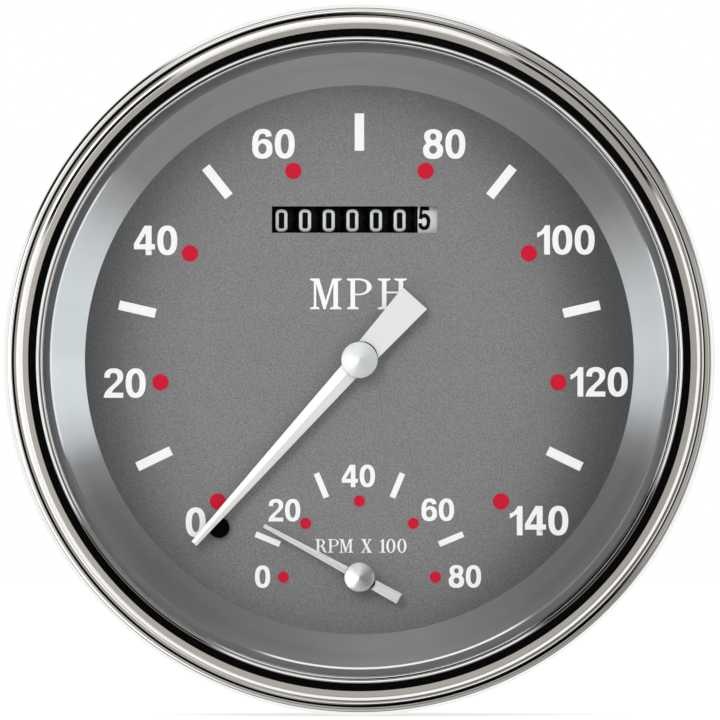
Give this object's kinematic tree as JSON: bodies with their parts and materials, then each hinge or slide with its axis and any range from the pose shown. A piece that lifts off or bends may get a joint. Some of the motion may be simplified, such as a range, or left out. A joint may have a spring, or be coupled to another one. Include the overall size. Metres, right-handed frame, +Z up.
{
  "type": "dash speedometer",
  "caption": "Round dash speedometer with a polished bezel, grey dial, tachometer sub-dial, drum odometer and two rear studs",
  "frame": {"origin": "on the instrument's main axis, in the plane of the bezel's rear face that seats on the dash panel", "axes": "+Y runs back through the panel along the case barrel, -Y faces the driver, +Z is up and +X is to the driver's right"},
  "size_m": [0.127, 0.0828, 0.127],
  "materials": {
    "polished_steel": "polished",
    "lens_glass": "clear",
    "lamp_glass": "clear",
    "black_rubber": "matt",
    "polished_aluminium": "polished",
    "brushed_aluminium": "brushed",
    "milky_plastic": "moulded, translucent",
    "dial_paint": "sand-textured paint",
    "mark_white": "printed ink",
    "dot_red": "printed ink",
    "pointer_white": "semi-gloss paint",
    "plated_steel": "zinc plated",
    "magnet": "sintered",
    "copper_wire": "enamelled winding",
    "wheel_black": "moulded",
    "wheel_white": "moulded",
    "brass": "bright",
    "board_green": "solder mask",
    "black_plastic": "moulded"
  },
  "bodies": {
    "housing": {"bezel": "polished_steel", "lens": "lens_glass", "lens_gasket": "black_rubber", "trim_ring": "polished_aluminium", "light_ring": "milky_plastic", "case": "plated_steel", "dial": "dial_paint", "dial_tick_marks": "mark_white", "dial_dots": "dot_red", "pointer_stop": "black_rubber", "speed_bobbin": "milky_plastic", "speed_coils": "copper_wire", "speed_can": "plated_steel", "tach_bobbin": "milky_plastic", "tach_coils": "copper_wire", "tach_can": "plated_steel", "odometer_frame": "plated_steel", "odometer_shaft": "plated_steel", "pinion_shaft": "plated_steel", "idler_pin": "plated_steel", "odometer_motor": "plated_steel", "dial_posts": "plated_steel", "carrier_plate": "plated_steel", "machine_screws": "plated_steel", "circuit_board": "board_green", "board_parts": "black_plastic", "board_standoffs": "brass", "mounting_studs": "plated_steel", "stud_nuts": "plated_steel", "terminal_block": "black_plastic", "terminal_blades": "brass", "lamp_sockets": "black_plastic", "lamps": "lamp_glass", "button_housing": "black_plastic", "button_spring": "plated_steel"},
    "speed_pointer": {"speed_needle": "pointer_white", "speed_hub_cap": "pointer_white", "speed_spindle": "plated_steel", "speed_rotor": "magnet"},
    "tach_pointer": {"tach_needle": "brushed_aluminium", "tach_hub_cap": "pointer_white", "tach_spindle": "plated_steel", "tach_rotor": "magnet"},
    "wheel_hundred_thousands": {"wheel_hundred_thousands": "wheel_black"},
    "wheel_ten_thousands": {"wheel_ten_thousands": "wheel_black"},
    "wheel_thousands": {"wheel_thousands": "wheel_black"},
    "wheel_hundreds": {"wheel_hundreds": "wheel_black"},
    "wheel_tens": {"wheel_tens": "wheel_black"},
    "wheel_ones": {"wheel_ones": "wheel_black"},
    "wheel_tenths": {"wheel_tenths": "wheel_white"},
    "transfer_pinion_1": {"transfer_pinion_1": "milky_plastic"},
    "transfer_pinion_2": {"transfer_pinion_2": "milky_plastic"},
    "transfer_pinion_3": {"transfer_pinion_3": "milky_plastic"},
    "transfer_pinion_4": {"transfer_pinion_4": "milky_plastic"},
    "transfer_pinion_5": {"transfer_pinion_5": "milky_plastic"},
    "transfer_pinion_6": {"transfer_pinion_6": "milky_plastic"},
    "idler_gear": {"idler_gear": "milky_plastic"},
    "motor_pinion": {"motor_pinion": "brass"},
    "calibration_button": {"calibration_button": "black_plastic"}
  },
  "joints": [
    {"name": "speed_pointer_swing", "type": "hinge", "parent": "housing", "child": "speed_pointer", "pos_m": [0, 0, 0], "axis": [0, 1, 0], "range_deg": [0, 273]},
    {"name": "tach_pointer_swing", "type": "hinge", "parent": "housing", "child": "tach_pointer", "pos_m": [0, 0, -0.03885], "axis": [0, 1, 0], "range_deg": [-28.35, 151.65]},
    {"name": "wheel_tenths_turn", "type": "hinge", "parent": "housing", "child": "wheel_tenths", "pos_m": [0, 0.0124, 0.0251], "axis": [-1, 0, 0], "continuous": true},
    {"name": "wheel_ones_turn", "type": "hinge", "parent": "housing", "child": "wheel_ones", "pos_m": [0, 0.0124, 0.0251], "axis": [-1, 0, 0], "continuous": true},
    {"name": "wheel_tens_turn", "type": "hinge", "parent": "housing", "child": "wheel_tens", "pos_m": [0, 0.0124, 0.0251], "axis": [-1, 0, 0], "continuous": true},
    {"name": "wheel_hundreds_turn", "type": "hinge", "parent": "housing", "child": "wheel_hundreds", "pos_m": [0, 0.0124, 0.0251], "axis": [-1, 0, 0], "continuous": true},
    {"name": "wheel_thousands_turn", "type": "hinge", "parent": "housing", "child": "wheel_thousands", "pos_m": [0, 0.0124, 0.0251], "axis": [-1, 0, 0], "continuous": true},
    {"name": "wheel_ten_thousands_turn", "type": "hinge", "parent": "housing", "child": "wheel_ten_thousands", "pos_m": [0, 0.0124, 0.0251], "axis": [-1, 0, 0], "continuous": true},
    {"name": "wheel_hundred_thousands_turn", "type": "hinge", "parent": "housing", "child": "wheel_hundred_thousands", "pos_m": [0, 0.0124, 0.0251], "axis": [-1, 0, 0], "continuous": true},
    {"name": "transfer_pinion_6_turn", "type": "hinge", "parent": "housing", "child": "transfer_pinion_6", "pos_m": [0, 0.01604, 0.0351], "axis": [-1, 0, 0], "continuous": true},
    {"name": "transfer_pinion_5_turn", "type": "hinge", "parent": "housing", "child": "transfer_pinion_5", "pos_m": [0, 0.01604, 0.0351], "axis": [-1, 0, 0], "continuous": true},
    {"name": "transfer_pinion_4_turn", "type": "hinge", "parent": "housing", "child": "transfer_pinion_4", "pos_m": [0, 0.01604, 0.0351], "axis": [-1, 0, 0], "continuous": true},
    {"name": "transfer_pinion_3_turn", "type": "hinge", "parent": "housing", "child": "transfer_pinion_3", "pos_m": [0, 0.01604, 0.0351], "axis": [-1, 0, 0], "continuous": true},
    {"name": "transfer_pinion_2_turn", "type": "hinge", "parent": "housing", "child": "transfer_pinion_2", "pos_m": [0, 0.01604, 0.0351], "axis": [-1, 0, 0], "continuous": true},
    {"name": "transfer_pinion_1_turn", "type": "hinge", "parent": "housing", "child": "transfer_pinion_1", "pos_m": [0, 0.01604, 0.0351], "axis": [-1, 0, 0], "continuous": true},
    {"name": "idler_gear_turn", "type": "hinge", "parent": "housing", "child": "idler_gear", "pos_m": [0, 0.0124, 0.01142], "axis": [-1, 0, 0], "continuous": true},
    {"name": "motor_pinion_turn", "type": "hinge", "parent": "housing", "child": "motor_pinion", "pos_m": [0, 0.0124, 0.0023], "axis": [-1, 0, 0], "continuous": true},
    {"name": "calibration_button_press", "type": "slide", "parent": "housing", "child": "calibration_button", "axis": [0, -1, 0], "range_m": [0, 0.0012], "stiffness_N_per_m": 300, "springref_m": -0.001, "deforming": ["button_spring"]}
  ],
  "couplings": [
    {"joint": "wheel_ones_turn", "follows": "wheel_tenths_turn", "ratio": 0.1},
    {"joint": "wheel_tens_turn", "follows": "wheel_tenths_turn", "ratio": 0.01},
    {"joint": "wheel_hundreds_turn", "follows": "wheel_tenths_turn", "ratio": 0.001},
    {"joint": "wheel_thousands_turn", "follows": "wheel_tenths_turn", "ratio": 0.0001},
    {"joint": "wheel_ten_thousands_turn", "follows": "wheel_tenths_turn", "ratio": 0.00001},
    {"joint": "wheel_hundred_thousands_turn", "follows": "wheel_tenths_turn", "ratio": 0.000001},
    {"joint": "transfer_pinion_6_turn", "follows": "wheel_tenths_turn", "ratio": -0.25},
    {"joint": "transfer_pinion_5_turn", "follows": "wheel_tenths_turn", "ratio": -0.025},
    {"joint": "transfer_pinion_4_turn", "follows": "wheel_tenths_turn", "ratio": -0.0025},
    {"joint": "transfer_pinion_3_turn", "follows": "wheel_tenths_turn", "ratio": -0.00025},
    {"joint": "transfer_pinion_2_turn", "follows": "wheel_tenths_turn", "ratio": -0.000025},
    {"joint": "transfer_pinion_1_turn", "follows": "wheel_tenths_turn", "ratio": -0.0000025},
    {"joint": "idler_gear_turn", "follows": "wheel_tenths_turn", "ratio": -1.25},
    {"joint": "motor_pinion_turn", "follows": "wheel_tenths_turn", "ratio": 2.5}
  ]
}
